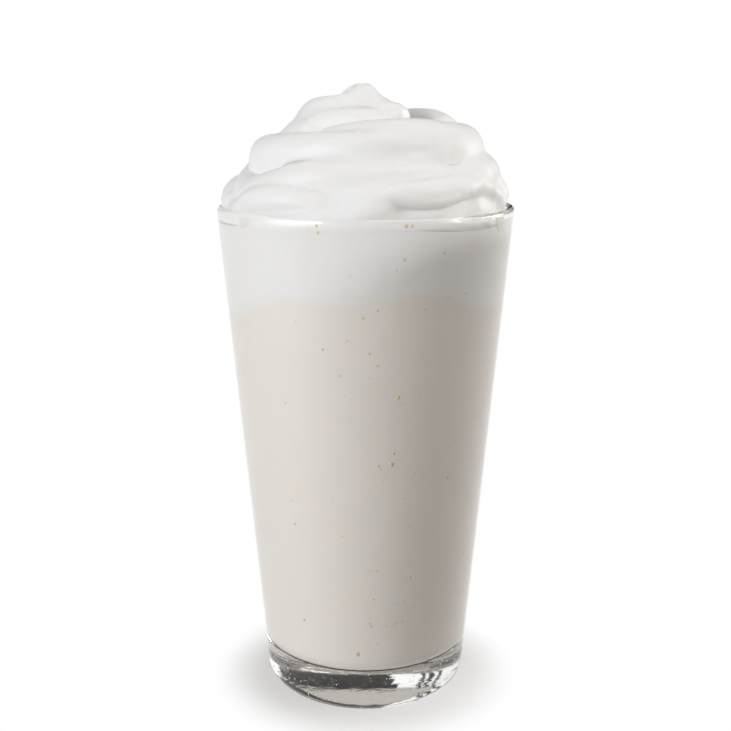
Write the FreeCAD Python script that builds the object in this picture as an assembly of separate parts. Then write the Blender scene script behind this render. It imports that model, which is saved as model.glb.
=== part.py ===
import FreeCAD, Part
import math
import os
from collections import namedtuple

# A tall tapered glass filled with a frothy milk drink under a swirl of whipped cream.
# Millimetres, +Z up. The origin is on the table under the middle of the glass, and -Y is the front.
# Four solids: the glass, the drink, the foam that floats on it, and the whipped cream.

# --- glass ---
GLASS_HEIGHT = 152.0
RIM_RADIUS = 44.5            # outside, at the lip
BASE_RADIUS = 31.0           # outside, where the wall's line meets the table
RIM_WALL = 2.3               # wall at the lip, measured level
BASE_WALL = 3.0              # wall where its lines meet the table, measured level
FLOOR_THICKNESS = 14.0       # thick pressed base
FLOOR_CORNER = 5.0           # inside, between the floor and the wall
HEEL_RADIUS = 6.0            # outside, between the wall and the table
LIP_ROUND = 0.98             # the lip's rounding, as a share of half the wall
RESTING_RING = 4.0           # width of the flat ring that the glass stands on
PUNT_RISE = 1.5              # how far the underside is hollowed in the middle

# --- drink and foam ---
CREAM_SEAT = 4.0             # the cream sits on the foam this far below the lip
FOAM_DEPTH = 22.0            # from there down to the drink's mean level
FRONT_LIFT = 3.5             # the surface stands higher at the front than at the back
SIDE_LIFT = 0.8              # and a little higher on the right
SADDLE = 2.6                 # it droops at both sides
RIPPLE = 1.2                 # lobes of foam that dip into the drink round the wall
RIPPLE_COUNT = 6
RIPPLE_TURN = 24.0           # degrees from the front to a crest
SURFACE_STEPS = 24           # squares along each side of the surface's net of points
SURFACE_SPREAD = 1.1         # how far that net reaches past the glass, as a share of its radius

# --- whipped cream ---
CREAM_HEIGHT = 35.3          # tip of the cream above the lip
WALL_CLEARANCE = 0.12        # between the cream and the inside of the glass
LIP_CLEARANCE = 0.3          # between the cream and the rounded lip
EYE_LIFT = 2.0               # height above the lip from which the cream's skin is laid out
PLUG_DEPTH = 2.0             # cream that fills the whole glass above its seat
LOWEST_ROW = 3.2             # depth below the lip of the first row laid out from there
FAR_POINT = 53.0             # a distance from the eye that is outside the cream in every direction
CLOSE_ENOUGH = 0.01          # the skin's points lie this near to the folds' surface
STEP_SHARE = 0.9             # each step towards the skin covers this share of the distance left
MOST_STEPS = 60
COLUMN_SPACING = 1.657       # between the skin's points round the mouth of the glass
ROW_SPACING = 1.076          # and about this far apart from the seat up to the tip
TIP_FLAT = 0.45              # radius of the closed tip
SEAM = 0.0001                # the skin and its two ends are joined to within this
FOLD_MOUTH = 42.2            # inside radius at the lip for which the folds' figures are given
FOLD_HEIGHT = 35.3           # and the cream's height for which they are given

# A fold is a tapered roll of cream laid along part of a turn. It goes from one heading to another,
# in degrees from the front towards the right, and has three stations: its start, middle and end.
# At each, reach is the distance from the axis, lift the height above the lip and girth the radius.
# Blend is how softly it runs into the cream beneath it.
Fold = namedtuple("Fold", "name start end reach lift girth blend")

TIP = Fold("tip", -110, -60, (3.5, 2.8, 1.4), (26.0, 30.0, 33.3), (5.6, 4.2, 2.0), 3.0)
FOLDS = [
    # The lowest lap, round the lip.
    Fold("left end", -116, -84, (36.2, 37.3, 38.4), (2.2, 2.4, 0.3), (6.0, 6.3, 4.2), 1.6),
    Fold("left shoulder", -78, -14, (34.4, 33.5, 31.5), (1.8, 7.0, 10.2), (4.6, 5.2, 4.6), 2.6),
    Fold("left foot", -104, -6, (36.5, 36.8, 36.5), (-2.0, -2.0, -2.0), (5.2, 5.2, 5.0), 1.6),
    Fold("front left roll", -70, -14, (37.4, 37.5, 35.5), (-0.6, 3.8, 1.6), (3.6, 4.3, 3.4), 1.4),
    Fold("lap foot", -5, 2, (35.5, 36.0, 36.0), (0.6, 0.8, 1.2), (5.0, 5.0, 4.6), 3.0),
    Fold("under the lap", 6, 66, (33.0, 34.0, 34.0), (-2.0, -2.0, -2.0), (4.5, 4.5, 4.5), 1.0),
    Fold("upper lap", -38, 44, (31.5, 31.5, 31.0), (8.6, 9.6, 8.8), (4.4, 4.4, 4.2), 3.0),
    Fold("front lap", 0, 60, (35.8, 36.8, 36.8), (5.4, 5.8, 6.6), (4.5, 4.5, 4.4), 3.0),
    Fold("lap lip", 20, 46, (37.4, 37.7, 37.4), (4.8, 4.0, 4.8), (3.6, 3.9, 3.6), 2.0),
    Fold("right shoulder", 46, 112, (33.0, 33.2, 33.2), (7.5, 8.0, 5.5), (4.5, 5.6, 6.6), 1.6),
    Fold("right tuck", 66, 78, (39.3, 39.3, 39.3), (5.0, 3.0, -0.5), (2.4, 2.6, 2.4), 1.0),
    Fold("right end", 84, 125, (36.3, 36.3, 36.0), (2.0, 2.0, 2.0), (6.0, 6.2, 6.2), 1.6),
    Fold("back low right", 122, 176, (35.5, 36.0, 35.0), (2.6, 4.2, 2.0), (5.6, 5.6, 5.0), 1.6),
    Fold("back low left", 172, 242, (35.0, 36.0, 36.0), (2.4, 4.0, 2.6), (5.2, 5.8, 5.6), 1.6),
    Fold("back shoulder right", 108, 196, (32.6, 31.8, 31.0), (6.4, 9.4, 9.6), (5.6, 5.0, 4.6), 2.0),
    Fold("back shoulder left", 188, 284, (31.0, 32.0, 34.0), (9.8, 9.0, 4.4), (4.6, 5.2, 5.0), 2.0),
    # The middle lap.
    Fold("middle front", -95, 60, (28.0, 26.2, 25.0), (13.6, 17.6, 17.6), (6.6, 4.7, 5.6), 2.0),
    Fold("middle upper", -30, 80, (20.5, 22.5, 27.3), (20.0, 20.8, 16.4), (3.2, 5.0, 6.8), 2.2),
    Fold("middle left", -150, -84, (19.0, 22.8, 27.8), (16.5, 15.2, 13.4), (5.0, 5.6, 6.6), 1.6),
    Fold("middle right", 66, 140, (28.4, 24.8, 21.0), (15.6, 18.0, 19.2), (6.6, 6.5, 5.8), 1.6),
    Fold("middle back", 132, 218, (24.0, 25.0, 22.0), (16.4, 16.2, 16.4), (6.4, 5.8, 5.4), 2.0),
    # The top turns and the tip.
    Fold("left slope", -128, -60, (17.0, 20.2, 19.0), (20.4, 19.8, 20.4), (4.6, 4.5, 4.0), 3.0),
    Fold("top low", -102, 20, (17.0, 13.4, 9.0), (21.6, 24.4, 26.0), (4.2, 3.8, 3.0), 1.4),
    Fold("top high", -112, -40, (15.6, 13.4, 5.0), (25.4, 27.2, 29.6), (4.8, 4.3, 3.4), 1.6),
    Fold("top right", 30, 100, (6.5, 9.0, 9.6), (26.2, 26.6, 25.2), (3.0, 3.2, 3.3), 1.0),
    Fold("right crown", 98, 150, (22.0, 18.5, 17.0), (20.8, 22.8, 22.2), (4.4, 4.0, 3.8), 1.2),
    Fold("back upper", 146, 250, (17.0, 16.0, 15.0), (21.0, 22.2, 21.6), (4.4, 4.4, 4.4), 1.6),
    Fold("back top", 110, 240, (9.6, 9.0, 9.6), (24.8, 26.0, 25.4), (3.6, 4.0, 4.0), 1.6),
    Fold("tip foot", 40, 100, (3.2, 3.6, 4.0), (28.4, 28.4, 27.4), (3.2, 3.2, 3.2), 3.0),
    TIP,
]
HEART_REACH = 33.5           # the plain dome of cream under the folds: radius, height and centre
HEART_HEIGHT = 26.5
HEART_LIFT = -1.0
HEART_SHARE = 0.8            # steepness of the dome's distance, so that it never overstates it

# --- what follows from these ---
MOUTH_RADIUS = RIM_RADIUS - RIM_WALL
SEAT_HEIGHT = GLASS_HEIGHT - CREAM_SEAT
DRINK_LEVEL = SEAT_HEIGHT - FOAM_DEPTH
LIP_RADIUS = LIP_ROUND * RIM_WALL / 2
SPREAD = MOUTH_RADIUS / FOLD_MOUTH
RISE = CREAM_HEIGHT / FOLD_HEIGHT
SCALE = min(SPREAD, RISE)
FAR = FAR_POINT * max(SPREAD, RISE)
COLUMNS = round(2 * math.pi * MOUTH_RADIUS / COLUMN_SPACING)
ROWS = round((MOUTH_RADIUS + CREAM_HEIGHT) / ROW_SPACING)


def point(reach, height):
    """A point of a profile in the XZ plane."""
    return FreeCAD.Vector(reach, 0, height)


def inner_radius(height):
    """Inside radius of the glass at a height, on the straight wall."""
    foot = BASE_RADIUS - BASE_WALL
    return foot + (MOUTH_RADIUS - foot) * height / GLASS_HEIGHT


def corner_arc(before, corner, after, radius):
    """The arc that rounds a corner, tangent to both of its sides."""
    back = (before - corner).normalize()
    ahead = (after - corner).normalize()
    half_angle = back.getAngle(ahead) / 2
    reach = radius / math.tan(half_angle)
    middle = (back + ahead).normalize()
    centre = corner + middle * (radius / math.sin(half_angle))
    return Part.Arc(corner + back * reach, centre - middle * radius, corner + ahead * reach)


def rounded_path(corners):
    """Edges through (point, radius) corners, with an arc at each corner that has a radius."""
    edges = []
    start = corners[0][0]
    for index in range(1, len(corners) - 1):
        corner, radius = corners[index]
        if radius > 0:
            arc = corner_arc(corners[index - 1][0], corner, corners[index + 1][0], radius)
            edges.append(Part.LineSegment(start, arc.StartPoint).toShape())
            edges.append(arc.toShape())
            start = arc.EndPoint
        else:
            edges.append(Part.LineSegment(start, corner).toShape())
            start = corner
    edges.append(Part.LineSegment(start, corners[-1][0]).toShape())
    return edges


def turned(edges):
    """The solid that a closed profile sweeps round the Z axis."""
    face = Part.Face(Part.Wire(edges))
    return face.revolve(FreeCAD.Vector(0, 0, 0), FreeCAD.Vector(0, 0, 1), 360)


def make_glass():
    """The tumbler: straight tapered wall, round lip, thick floor and a hollowed underside."""
    wall_angle = math.atan2(GLASS_HEIGHT, RIM_RADIUS - BASE_RADIUS)
    ring_outer = BASE_RADIUS - HEEL_RADIUS * math.tan(wall_angle / 2)
    ring_inner = ring_outer - RESTING_RING
    centre = point(0, PUNT_RISE)
    slope = ring_inner / 2
    shoulder = point(slope, PUNT_RISE * (1 - (slope / ring_inner) ** 2))
    edges = rounded_path([
        (point(ring_inner, 0), 0),
        (point(BASE_RADIUS, 0), HEEL_RADIUS),
        (point(RIM_RADIUS, GLASS_HEIGHT), LIP_RADIUS),
        (point(MOUTH_RADIUS, GLASS_HEIGHT), LIP_RADIUS),
        (point(inner_radius(FLOOR_THICKNESS), FLOOR_THICKNESS), FLOOR_CORNER),
        (point(0, FLOOR_THICKNESS), 0),
    ])
    edges.append(Part.LineSegment(point(0, FLOOR_THICKNESS), centre).toShape())
    edges.append(Part.Arc(centre, shoulder, point(ring_inner, 0)).toShape())
    return turned(edges)


def make_filling():
    """All that the glass holds below the cream, as one solid that meets its wall and floor."""
    edges = rounded_path([
        (point(0, FLOOR_THICKNESS), 0),
        (point(inner_radius(FLOOR_THICKNESS), FLOOR_THICKNESS), FLOOR_CORNER),
        (point(inner_radius(SEAT_HEIGHT), SEAT_HEIGHT), 0),
        (point(0, SEAT_HEIGHT), 0),
    ])
    edges.append(Part.LineSegment(point(0, SEAT_HEIGHT), point(0, FLOOR_THICKNESS)).toShape())
    return turned(edges)


def drink_height(x, y):
    """Height of the drink's uneven surface."""
    heading = math.atan2(x, -y)
    share = min(math.hypot(x, y) / inner_radius(DRINK_LEVEL), SURFACE_SPREAD)
    tilt = FRONT_LIFT * math.cos(heading) + SIDE_LIFT * math.sin(heading)
    saddle = SADDLE * math.cos(2 * heading)
    ripple = RIPPLE * math.cos(RIPPLE_COUNT * (heading - math.radians(RIPPLE_TURN)))
    return DRINK_LEVEL + share * tilt + share ** 2 * saddle + share ** RIPPLE_COUNT * ripple


def below_drink_surface():
    """A block that ends upwards in the drink's surface."""
    half = SURFACE_SPREAD * RIM_RADIUS
    places = [half * (2 * step / SURFACE_STEPS - 1) for step in range(SURFACE_STEPS + 1)]
    grid = [[FreeCAD.Vector(x, y, drink_height(x, y)) for y in places] for x in places]
    surface = Part.BSplineSurface()
    surface.interpolate(grid)
    return surface.toShape().extrude(FreeCAD.Vector(0, 0, -GLASS_HEIGHT))


def along(values, share):
    """A fold's value at a share of its length, on the parabola through its three stations."""
    first, middle, last = values
    fall = first * (1 - share) * (1 - 2 * share)
    crest = middle * 4 * share * (1 - share)
    return fall + crest + last * share * (2 * share - 1)


def blended(one, other, blend):
    """The lesser of two distances, rounded off where they are nearly equal."""
    gap = abs(one - other)
    least = min(one, other)
    if gap >= blend:
        return least
    return least - (blend - gap) ** 2 / (4 * blend)


def fold_distance(fold, reach, heading, lift):
    """Distance from a point to a fold's surface, negative inside it."""
    turn = (heading - (fold.start + fold.end) / 2 + 180) % 360 - 180
    length = fold.end - fold.start
    share = min(max(0.5 + turn / length, 0), 1)
    past = math.radians(max(abs(turn) - length / 2, 0))
    centre = along(fold.reach, share)
    across = reach * reach + centre * centre - 2 * reach * centre * math.cos(past)
    rise = lift - along(fold.lift, share)
    return math.sqrt(max(across, 0) + rise * rise) - along(fold.girth, share)


def glass_distance(reach, lift):
    """How far inside the glass a point lies, at a reach from the axis and a lift above the lip."""
    if lift < -LIP_RADIUS:
        return inner_radius(GLASS_HEIGHT + lift) - reach - WALL_CLEARANCE
    centre = MOUTH_RADIUS + LIP_RADIUS
    return math.hypot(reach - centre, lift + LIP_RADIUS) - LIP_RADIUS - LIP_CLEARANCE


def cream_distance(x, y, lift):
    """Distance from a point to the cream's surface, negative inside the cream."""
    reach = math.hypot(x, y) / SPREAD
    heading = math.degrees(math.atan2(x, -y))
    height = lift / RISE
    dome = math.hypot(reach / HEART_REACH, (height - HEART_LIFT) / HEART_HEIGHT)
    distance = (dome - 1) * HEART_HEIGHT * HEART_SHARE
    plug = max(reach - FOLD_MOUTH, abs(lift + CREAM_SEAT) - PLUG_DEPTH)
    distance = min(distance, plug)
    for fold in FOLDS:
        distance = blended(distance, fold_distance(fold, reach, heading, height), fold.blend)
    return max(distance * SCALE, -glass_distance(math.hypot(x, y), lift))


def skin_point(column, row):
    """The outermost point of the cream on one line of sight from inside it."""
    share = row / (ROWS - 1)
    heading = 2 * math.pi * column / COLUMNS
    eye_reach = share ** 2 * SPREAD * TIP.reach[2]
    eye_x = eye_reach * math.sin(math.radians(TIP.end))
    eye_y = -eye_reach * math.cos(math.radians(TIP.end))
    lowest = math.atan2(-LOWEST_ROW - EYE_LIFT, MOUTH_RADIUS)
    pitch = lowest + (math.pi / 2 - lowest) * share
    level = math.cos(pitch)
    step_x = level * math.sin(heading)
    step_y = -level * math.cos(heading)
    step_z = math.sin(pitch)
    length = FAR
    for _ in range(MOST_STEPS):
        x = eye_x + step_x * length
        y = eye_y + step_y * length
        lift = EYE_LIFT + step_z * length
        distance = cream_distance(x, y, lift)
        if distance < CLOSE_ENOUGH:
            break
        length -= STEP_SHARE * distance
    return FreeCAD.Vector(x, y, GLASS_HEIGHT + lift)


def ring(radius, height, x=0.0, y=0.0):
    """A level ring of skin points."""
    points = []
    for column in range(COLUMNS):
        heading = 2 * math.pi * column / COLUMNS
        across = x + radius * math.sin(heading)
        back = y - radius * math.cos(heading)
        points.append(FreeCAD.Vector(across, back, height))
    return points


def make_cream():
    """The whipped cream: one smooth skin from its seat to its tip, closed by two flat ends."""
    rows = [ring(inner_radius(SEAT_HEIGHT) - WALL_CLEARANCE, SEAT_HEIGHT)]
    for row in range(ROWS - 1):
        rows.append([skin_point(column, row) for column in range(COLUMNS)])
    tip = skin_point(0, ROWS - 1)
    rows.append(ring(TIP_FLAT, GLASS_HEIGHT + CREAM_HEIGHT, tip.x, tip.y))
    poles = [list(column) for column in zip(*rows)]
    spans = len(rows) - 3
    skin = Part.BSplineSurface()
    skin.buildFromPolesMultsKnots(
        poles,
        [1] * (COLUMNS + 1), [4] + [1] * (spans - 1) + [4],
        list(range(COLUMNS + 1)), list(range(spans + 1)),
        True, False, 3, 3,
    )
    face = skin.toShape()
    ends = []
    for edge in face.Edges:
        if edge.BoundBox.ZLength < SEAM:
            ends.append(Part.Face(Part.Wire([edge])))
    shell = Part.makeShell([face] + ends)
    shell.sewShape(SEAM)
    return Part.makeSolid(shell)


def main():
    """Build the four solids and write one file for each."""
    filling = make_filling()
    block = below_drink_surface()
    shapes = {
        "glass": make_glass(),
        "drink": filling.common(block),
        "foam": filling.cut(block),
        "whipped_cream": make_cream(),
    }
    os.makedirs("parts", exist_ok=True)
    for name, shape in shapes.items():
        solid = shape.Solids[0]
        print(name, len(shape.Solids), "solid, valid", solid.isValid(), "volume", round(solid.Volume))
        solid.exportStep("parts/" + name + ".step")


main()
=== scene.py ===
"""Studio scene of a tall glass of frothy ayran under piped whipped cream.

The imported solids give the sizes. A blown tumbler, the drink, its foam, the cream and the small
flecks are modelled here in finer detail and stand for those solids. Metres, +Z up, -Y to the front.
"""
from __future__ import annotations

import logging
import math
import random
from contextlib import contextmanager
from dataclasses import dataclass
from enum import Enum
from typing import Callable, Iterator, Protocol, Sequence

import bmesh
import bpy
import numpy as np
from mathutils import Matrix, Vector


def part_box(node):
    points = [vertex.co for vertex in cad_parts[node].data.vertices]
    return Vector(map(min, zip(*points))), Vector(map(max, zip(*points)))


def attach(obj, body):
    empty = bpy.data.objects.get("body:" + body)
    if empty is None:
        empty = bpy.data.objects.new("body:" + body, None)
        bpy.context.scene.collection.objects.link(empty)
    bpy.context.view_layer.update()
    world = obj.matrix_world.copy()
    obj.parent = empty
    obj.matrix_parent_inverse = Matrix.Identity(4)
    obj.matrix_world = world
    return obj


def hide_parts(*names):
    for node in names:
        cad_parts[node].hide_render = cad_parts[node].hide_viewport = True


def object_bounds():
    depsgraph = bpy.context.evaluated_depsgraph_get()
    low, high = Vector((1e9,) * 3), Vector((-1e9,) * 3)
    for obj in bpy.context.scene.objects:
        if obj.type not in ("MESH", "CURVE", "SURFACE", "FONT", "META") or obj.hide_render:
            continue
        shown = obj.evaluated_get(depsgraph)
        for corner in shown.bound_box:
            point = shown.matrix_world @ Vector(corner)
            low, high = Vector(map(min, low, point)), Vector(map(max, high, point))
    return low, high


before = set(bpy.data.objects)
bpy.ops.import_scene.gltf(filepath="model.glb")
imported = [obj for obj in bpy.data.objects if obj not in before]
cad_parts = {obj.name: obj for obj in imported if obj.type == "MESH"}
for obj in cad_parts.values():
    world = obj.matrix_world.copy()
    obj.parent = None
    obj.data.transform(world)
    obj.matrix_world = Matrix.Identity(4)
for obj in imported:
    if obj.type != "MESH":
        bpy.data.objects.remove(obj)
packed_low, packed_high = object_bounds()

MM = 0.001
FINE = 0.001 * MM
WHITE = (1.0, 1.0, 1.0)
ROOT = "root"
log = logging.getLogger("ayran")

Colour = tuple[float, float, float]
Triple = tuple[float, float, float]
Test = Callable[[Vector], bool]
Level = Callable[[float, float], float]
Number = float | np.ndarray


class Slot(Enum):
    """The record's material slots."""

    GLASS = "glass"
    DRINK = "drink"
    FOAM = "foam"
    CREAM = "whipped_cream"


class Element(Enum):
    """What can be selected in a mesh."""

    POINT = "VERT"
    EDGE = "EDGE"
    FACE = "FACE"


class Finish(Protocol):
    """A finish that can make its own material."""

    def material(self) -> bpy.types.Material:
        """Make the material."""


class SubAssembly(Protocol):
    """One piece of the served drink."""

    def build(self) -> bpy.types.Object:
        """Model the piece."""

    def dress(self, piece: bpy.types.Object) -> None:
        """Give the piece its finish and its place."""


# ---------------------------------------------------------------------------
# Places round the glass
# ---------------------------------------------------------------------------


def place_round(heading: float, reach: float, height: float) -> Vector:
    """A place at a heading in radians from the front towards the right, a reach and a height."""
    return Vector((reach * math.sin(heading), -reach * math.cos(heading), height))


def heading_and_reach(x: float, y: float) -> tuple[float, float]:
    """Heading in radians from the front towards the right, and distance from the axis."""
    return math.atan2(x, -y), math.hypot(x, y)


def outwards(heading: float, rise: float) -> Vector:
    """Direction out from the glass, by degrees from the front towards the right and degrees up."""
    up = math.radians(rise)
    return place_round(math.radians(heading), math.cos(up), math.sin(up))


# ---------------------------------------------------------------------------
# Bench work: picking, editing and finishing a piece with Blender's own tools
# ---------------------------------------------------------------------------


def pick(*objects: bpy.types.Object) -> None:
    """Select some objects alone and make the first of them active.

    Args:
        *objects: The objects.
    """
    bpy.ops.object.select_all(action="DESELECT")
    for piece in objects:
        piece.select_set(True)
    bpy.context.view_layer.objects.active = objects[0]


def started(name: str) -> bpy.types.Object:
    """Name the object that was just made.

    Args:
        name: The piece's name.

    Returns:
        The object.
    """
    piece = bpy.context.active_object
    piece.name = name
    piece.data.name = name
    return piece


def settle_in_place(piece: bpy.types.Object) -> None:
    """Put a piece's place, turn and scale into its mesh."""
    pick(piece)
    bpy.ops.object.transform_apply(location=True, rotation=True, scale=True)


def primitive(name: str, add: Callable[..., object], scale: Triple = (1, 1, 1),
              **settings: object) -> bpy.types.Object:
    """Add a primitive with nothing else selected, and settle it in place.

    Args:
        name: The piece's name.
        add: The operator that adds it.
        scale: How far it is stretched along each of its axes.
        **settings: The operator's settings.

    Returns:
        The new object.
    """
    bpy.ops.object.select_all(action="DESELECT")
    add(**settings)
    piece = started(name)
    piece.scale = scale
    settle_in_place(piece)
    return piece


def cylinder(name: str, sides: int, radius: float, low: float, high: float) -> bpy.types.Object:
    """Add an upright cylinder on the axis.

    Args:
        name: The piece's name.
        sides: How many sides it has.
        radius: Its radius.
        low: The height of its lower end.
        high: The height of its upper end.

    Returns:
        The new object.
    """
    return primitive(name, bpy.ops.mesh.primitive_cylinder_add, vertices=sides, radius=radius,
                     depth=high - low, location=(0, 0, (low + high) / 2), end_fill_type="NGON")


@contextmanager
def editing(piece: bpy.types.Object) -> Iterator[None]:
    """Work on a piece in edit mode, with nothing selected to begin with.

    Args:
        piece: The piece.

    Returns:
        A context that leaves edit mode at its end.
    """
    pick(piece)
    bpy.ops.object.mode_set(mode="EDIT")
    bpy.ops.mesh.select_all(action="DESELECT")
    yield
    bpy.ops.object.mode_set(mode="OBJECT")


def choose(piece: bpy.types.Object, kind: Element, wanted: Callable[[bmesh.types.BMesh], list]) -> None:
    """Select parts of a mesh that is in edit mode.

    Args:
        piece: The piece in edit mode.
        kind: What is selected.
        wanted: Lists the parts to select.
    """
    bpy.ops.mesh.select_mode(type=kind.value)
    bpy.ops.mesh.select_all(action="DESELECT")
    mesh = bmesh.from_edit_mesh(piece.data)
    for part in wanted(mesh):
        part.select_set(True)
    mesh.select_flush_mode()
    bmesh.update_edit_mesh(piece.data)


def choose_points(piece: bpy.types.Object, test: Test) -> None:
    """Select the points whose places pass a test."""
    choose(piece, Element.POINT, lambda mesh: [point for point in mesh.verts if test(point.co)])


def choose_listed(piece: bpy.types.Object, numbers: range) -> None:
    """Select the points that have these numbers."""
    choose(piece, Element.POINT, lambda mesh: [point for point in mesh.verts if point.index in numbers])


def choose_edges(piece: bpy.types.Object, test: Test) -> None:
    """Select the edges whose two ends both pass a test."""
    choose(piece, Element.EDGE, lambda mesh: [
        edge for edge in mesh.edges if test(edge.verts[0].co) and test(edge.verts[1].co)])


def choose_cap(piece: bpy.types.Object, height: float) -> None:
    """Select the level face with the most sides at a height.

    Args:
        piece: The piece in edit mode.
        height: The face's height.
    """
    choose(piece, Element.FACE, lambda mesh: [max(
        (face for face in mesh.faces if abs(face.calc_center_median().z - height) < FINE),
        key=lambda face: len(face.verts))])


def slice_at(piece: bpy.types.Object, heights: Sequence[float], **settings: object) -> None:
    """Cut a piece that is in edit mode along level planes.

    Args:
        piece: The piece; not used.
        heights: The planes' heights.
        **settings: More of the bisect operator's settings.
    """
    for height in heights:
        bpy.ops.mesh.select_all(action="SELECT")
        bpy.ops.mesh.bisect(plane_co=(0, 0, height), plane_no=(0, 0, 1), threshold=FINE, **settings)
        bpy.ops.mesh.select_all(action="DESELECT")


def finish_with(piece: bpy.types.Object, kind: str, **settings: object) -> None:
    """Add a modifier to a piece and apply it.

    Args:
        piece: The piece to finish.
        kind: The modifier's type.
        **settings: Its values.
    """
    pick(piece)
    bpy.ops.object.modifier_add(type=kind)
    modifier = piece.modifiers[-1]
    for name, value in settings.items():
        setattr(modifier, name, value)
    bpy.ops.object.modifier_apply(modifier=modifier.name)


def face_outwards(piece: bpy.types.Object) -> None:
    """Merge a closed piece's doubles and turn its faces outwards.

    Args:
        piece: The piece.
    """
    with editing(piece):
        bpy.ops.mesh.select_all(action="SELECT")
        bpy.ops.mesh.remove_doubles(threshold=2 * FINE)
        bpy.ops.mesh.normals_make_consistent(inside=False)


def shade_smooth(piece: bpy.types.Object, degrees: float = 180.0) -> None:
    """Shade a piece smooth, with creases left sharp past an angle.

    Args:
        piece: The piece.
        degrees: The angle.
    """
    pick(piece)
    if degrees >= 180:
        bpy.ops.object.shade_smooth()
    else:
        bpy.ops.object.shade_smooth_by_angle(angle=math.radians(degrees))


def merged(name: str, pieces: Sequence[bpy.types.Object]) -> bpy.types.Object:
    """Join several meshes into one piece.

    Args:
        name: The joined piece's name.
        pieces: The meshes.

    Returns:
        The joined piece.
    """
    pick(*pieces)
    bpy.ops.object.join()
    return started(name)


def hand_over(piece: bpy.types.Object, slot: Slot, finish: Finish, *nodes: str) -> None:
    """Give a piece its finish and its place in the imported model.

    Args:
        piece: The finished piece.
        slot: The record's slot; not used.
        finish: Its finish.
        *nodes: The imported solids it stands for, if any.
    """
    piece.data.materials.clear()
    piece.data.materials.append(finish.material())
    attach(piece, ROOT)
    if nodes:
        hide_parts(*nodes)


# ---------------------------------------------------------------------------
# Finishes
# ---------------------------------------------------------------------------


class Bench:
    """Nodes of one shader tree, laid out and wired by name."""

    def __init__(self, tree: bpy.types.NodeTree) -> None:
        """Start on an emptied tree."""
        self.tree = tree
        self.tree.nodes.clear()

    def fill(self, node: bpy.types.Node, inputs: dict[str | int, object]) -> None:
        """Give a node's inputs a socket to follow or a value of their own.

        Args:
            node: The node.
            inputs: Sockets, numbers or colours, by the input's name or number.
        """
        for name, value in inputs.items():
            target = node.inputs[name]
            if isinstance(value, bpy.types.NodeSocket):
                self.tree.links.new(value, target)
            elif target.type == "RGBA":
                target.default_value = (*value, 1)
            else:
                target.default_value = value

    def add(self, kind: str, inputs: dict[str | int, object] | None = None,
            **settings: object) -> bpy.types.Node:
        """Add a node.

        Args:
            kind: The node's type.
            inputs: What its inputs hold.
            **settings: Its properties.

        Returns:
            The node.
        """
        node = self.tree.nodes.new(kind)
        for name, value in settings.items():
            setattr(node, name, value)
        self.fill(node, inputs or {})
        return node

    def maths(self, operation: str, first: object, second: object) -> bpy.types.NodeSocket:
        """Reckon with two sockets or numbers, by an operation such as MULTIPLY."""
        return self.add("ShaderNodeMath", {0: first, 1: second}, operation=operation).outputs[0]

    def tint(self, share: bpy.types.NodeSocket, low: object, high: object) -> bpy.types.NodeSocket:
        """Pass from one colour to another, each a socket or a colour, as the share runs from 0 to 1."""
        node = self.add("ShaderNodeMix", {"Factor": share, "A": low, "B": high}, data_type="RGBA")
        return node.outputs["Result"]

    def ramp(self, value: bpy.types.NodeSocket, run: tuple[float, float], numbers: tuple[float, float],
             kind: str = "LINEAR") -> bpy.types.NodeSocket:
        """Pass from one number to another.

        Args:
            value: What it follows.
            run: Where the value begins and ends its run.
            numbers: The numbers at its two ends.
            kind: How it passes between them.

        Returns:
            The number between them.
        """
        inputs = {"Value": value, "From Min": run[0], "From Max": run[1],
                  "To Min": numbers[0], "To Max": numbers[1]}
        return self.add("ShaderNodeMapRange", inputs, interpolation_type=kind).outputs["Result"]

    def place(self) -> bpy.types.NodeSocket:
        """A place in the piece's own coordinates."""
        return self.add("ShaderNodeTexCoord").outputs["Object"]

    def seen(self) -> bpy.types.NodeSocket:
        """1 where a ray looks, straight on, in gloss or through glass, and 0 where it lights.

        Returns:
            The value.
        """
        rays = self.add("ShaderNodeLightPath").outputs
        straight = self.maths("MAXIMUM", rays["Is Camera Ray"], rays["Is Glossy Ray"])
        return self.maths("MAXIMUM", straight, rays["Is Transmission Ray"])

    def blend(self, share: bpy.types.NodeSocket, first: bpy.types.Node, second: bpy.types.Node,
              output: bpy.types.Node) -> None:
        """Put a mix of two shaders on an output.

        Args:
            share: 0 for the first shader, 1 for the second.
            first: The first shader.
            second: The second.
            output: The output.
        """
        mix = self.add("ShaderNodeMixShader", {0: share, 1: first.outputs[0], 2: second.outputs[0]})
        self.fill(output, {"Surface": mix.outputs[0]})


def started_material(name: str) -> tuple[bpy.types.Material, Bench, bpy.types.Node, bpy.types.Node]:
    """Begin a material with a Principled shader on its output.

    Args:
        name: The finish's name.

    Returns:
        The material, its bench, the shader and the output.
    """
    material = bpy.data.materials.new(name)
    material.use_nodes = True
    bench = Bench(material.node_tree)
    shader = bench.add("ShaderNodeBsdfPrincipled")
    output = bench.add("ShaderNodeOutputMaterial", {"Surface": shader.outputs[0]})
    return material, bench, shader, output


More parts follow.
